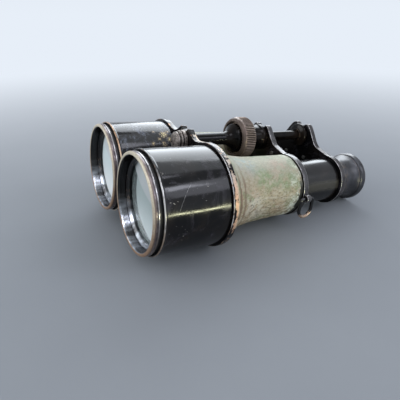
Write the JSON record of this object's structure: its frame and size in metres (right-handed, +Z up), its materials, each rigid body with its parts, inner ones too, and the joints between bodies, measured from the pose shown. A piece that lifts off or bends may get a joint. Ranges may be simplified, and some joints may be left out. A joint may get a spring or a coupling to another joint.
{
  "type": "galilean field glasses",
  "caption": "Antique Galilean field glasses: a pair of bell-shaped barrels on bridges, with sliding sunshades, a central focus wheel, drawn-out eyepieces and strap rings.",
  "frame": {"origin": "bottom centre of the bounding box, as the glasses lie on a table on the front bridge and the eyecups", "axes": "+Z up; +Y from the objectives to the eyepieces along the table; +X to the left barrel of a user who looks through. The barrels' own axes dip by 6.6 degrees towards +Y."},
  "size_m": [0.1304, 0.1824, 0.0687],
  "materials": {
    "black_japanned_brass": "black japan enamel over brass, glossy, worn to brass along its edges",
    "hood_enamel": "glossy black enamel with fine scratches and a brass lip",
    "lacquered_brass": "plain turned brass",
    "oxidised_brass": "dark brown oxidised brass with a straight knurl",
    "screw_steel": "polished cheese-head screws",
    "faded_leather": "worn grained covering, faded to grey green and tan",
    "lens_glass": "clear polished crown and flint glass",
    "guide_felt": "dark wool felt",
    "eyecup_ebonite": "dull black hard rubber, worn brown at its edges"
  },
  "bodies": {
    "barrels": {"barrel_left": "lacquered_brass", "barrel_right": "lacquered_brass", "column_finial": "lacquered_brass", "column_tube": "black_japanned_brass", "draw_tube_guide_left": "lacquered_brass", "draw_tube_guide_right": "lacquered_brass", "front_bridge": "black_japanned_brass", "guide_lining_left": "guide_felt", "guide_lining_right": "guide_felt", "leather_cover_left": "faded_leather", "leather_cover_right": "faded_leather", "middle_bridge": "black_japanned_brass", "middle_bridge_screw_left_1": "screw_steel", "middle_bridge_screw_right_1": "screw_steel", "objective_cell_left": "black_japanned_brass", "objective_cell_right": "black_japanned_brass", "objective_crown_lens_left": "lens_glass", "objective_crown_lens_right": "lens_glass", "objective_flint_lens_left": "lens_glass", "objective_flint_lens_right": "lens_glass", "objective_retainer_left": "black_japanned_brass", "objective_retainer_right": "black_japanned_brass", "strap_lug_left": "black_japanned_brass", "strap_lug_right": "black_japanned_brass", "wheel_bearing": "black_japanned_brass"},
    "eyepieces": {"draw_tube_left": "black_japanned_brass", "draw_tube_right": "black_japanned_brass", "draw_tube_stop_left": "lacquered_brass", "draw_tube_stop_right": "lacquered_brass", "eye_lens_cell_left": "lacquered_brass", "eye_lens_cell_right": "lacquered_brass", "eye_lens_left": "lens_glass", "eye_lens_retainer_left": "lacquered_brass", "eye_lens_retainer_right": "lacquered_brass", "eye_lens_right": "lens_glass", "eyecup_left": "eyecup_ebonite", "eyecup_right": "eyecup_ebonite", "eyepiece_bridge": "black_japanned_brass", "eyepiece_bridge_screw_left_1": "screw_steel", "eyepiece_bridge_screw_right_1": "screw_steel", "focus_spindle": "black_japanned_brass", "light_stop_left": "black_japanned_brass", "light_stop_right": "black_japanned_brass", "spindle_boss": "black_japanned_brass", "spindle_cap_nut": "black_japanned_brass"},
    "focus_wheel": {"focus_wheel": "oxidised_brass", "focus_nut": "lacquered_brass"},
    "sunshade_left": {"sunshade_left": "hood_enamel"},
    "strap_ring_left": {"strap_ring_left": "black_japanned_brass"},
    "sunshade_right": {"sunshade_right": "hood_enamel"},
    "strap_ring_right": {"strap_ring_right": "black_japanned_brass"}
  },
  "joints": [
    {"name": "focus_wheel_turn", "type": "hinge", "parent": "barrels", "child": "focus_wheel", "pos_m": [0, 0.00607, 0.05349], "axis": [0, 0.9933, -0.1153], "range_deg": [-1117, 109]},
    {"name": "eyepiece_slide", "type": "slide", "parent": "barrels", "child": "eyepieces", "axis": [0, 0.9933, -0.1153], "range_m": [-0.031, 0.003]},
    {"name": "sunshade_left_slide", "type": "slide", "parent": "barrels", "child": "sunshade_left", "axis": [0, -0.9933, 0.1153], "range_m": [0, 0.03]},
    {"name": "sunshade_right_slide", "type": "slide", "parent": "barrels", "child": "sunshade_right", "axis": [0, -0.9933, 0.1153], "range_m": [0, 0.03]},
    {"name": "strap_ring_left_swing", "type": "hinge", "parent": "barrels", "child": "strap_ring_left", "pos_m": [0.05615, 0.02386, 0.02374], "axis": [0, -0.9933, 0.1153], "range_deg": [-15, 180]},
    {"name": "strap_ring_right_swing", "type": "hinge", "parent": "barrels", "child": "strap_ring_right", "pos_m": [-0.05615, 0.02386, 0.02374], "axis": [0, 0.9933, -0.1153], "range_deg": [-15, 180]}
  ],
  "couplings": [
    {"joint": "focus_wheel_turn", "follows": "eyepiece_slide", "rad_per_m": 628.32}
  ]
}
